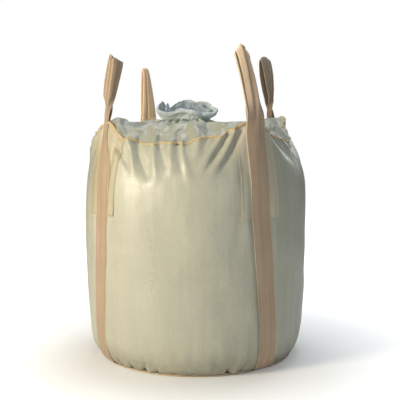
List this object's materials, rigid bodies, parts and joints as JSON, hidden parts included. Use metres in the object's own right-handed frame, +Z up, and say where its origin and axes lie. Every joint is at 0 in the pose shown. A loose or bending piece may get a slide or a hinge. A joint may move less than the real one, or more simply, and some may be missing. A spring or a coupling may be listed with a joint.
{
  "type": "bulk bag",
  "caption": "Filled, free-standing woven bulk bag with corner belts, a lifting loop at each corner and a tied filling spout on top.",
  "frame": {"origin": "middle of the base, on the floor", "axes": "+Z up, front face towards -Y, +X to the right of the front"},
  "size_m": [1.08, 1.08, 1.474],
  "materials": {
    "contents": "matte",
    "liner_film": "satin",
    "woven_cloth": "matte",
    "top_cloth": "matte",
    "spout_cloth": "satin",
    "piping": "matte",
    "thread": "matte",
    "webbing": "matte",
    "patch_cloth": "matte",
    "tie_cord": "matte"
  },
  "bodies": {
    "bag": {"bulk_fill": "contents", "liner": "liner_film", "side_wall": "woven_cloth", "bottom_panel": "woven_cloth", "top_panel": "top_cloth", "top_seam": "piping", "bottom_seam": "piping", "spout_seam": "piping", "spout_skirt": "spout_cloth", "patch_front_right": "patch_cloth", "patch_back_right": "patch_cloth", "patch_back_left": "patch_cloth", "patch_front_left": "patch_cloth", "belt_front_right": "webbing", "belt_back_right": "webbing", "belt_back_left": "webbing", "belt_front_left": "webbing", "belt_stitching": "thread", "patch_stitching": "thread"},
    "spout": {"spout_mouth": "spout_cloth", "liner_mouth": "liner_film", "spout_tie": "tie_cord"},
    "lift_front_right": {"loop_front_right": "webbing", "loop_stitching_front_right": "thread"},
    "lift_back_right": {"loop_back_right": "webbing", "loop_stitching_back_right": "thread"},
    "lift_back_left": {"loop_back_left": "webbing", "loop_stitching_back_left": "thread"},
    "lift_front_left": {"loop_front_left": "webbing", "loop_stitching_front_left": "thread"}
  },
  "joints": [
    {"name": "fold_front_right", "type": "hinge", "parent": "bag", "child": "lift_front_right", "pos_m": [0.33791, -0.37529, 1.149], "axis": [0.7431, 0.6691, 0], "range_deg": [-60, 140]},
    {"name": "fold_back_right", "type": "hinge", "parent": "bag", "child": "lift_back_right", "pos_m": [0.33791, 0.37529, 1.149], "axis": [-0.7431, 0.6691, 0], "range_deg": [-60, 140]},
    {"name": "fold_back_left", "type": "hinge", "parent": "bag", "child": "lift_back_left", "pos_m": [-0.33791, 0.37529, 1.149], "axis": [-0.7431, -0.6691, 0], "range_deg": [-60, 140]},
    {"name": "fold_front_left", "type": "hinge", "parent": "bag", "child": "lift_front_left", "pos_m": [-0.33791, -0.37529, 1.149], "axis": [0.7431, -0.6691, 0], "range_deg": [-60, 140]},
    {"name": "spout_flop", "type": "hinge", "parent": "bag", "child": "spout", "pos_m": [-0.045, -0.02, 1.14], "axis": [1, 0, 0], "range_deg": [-20, 20]}
  ]
}
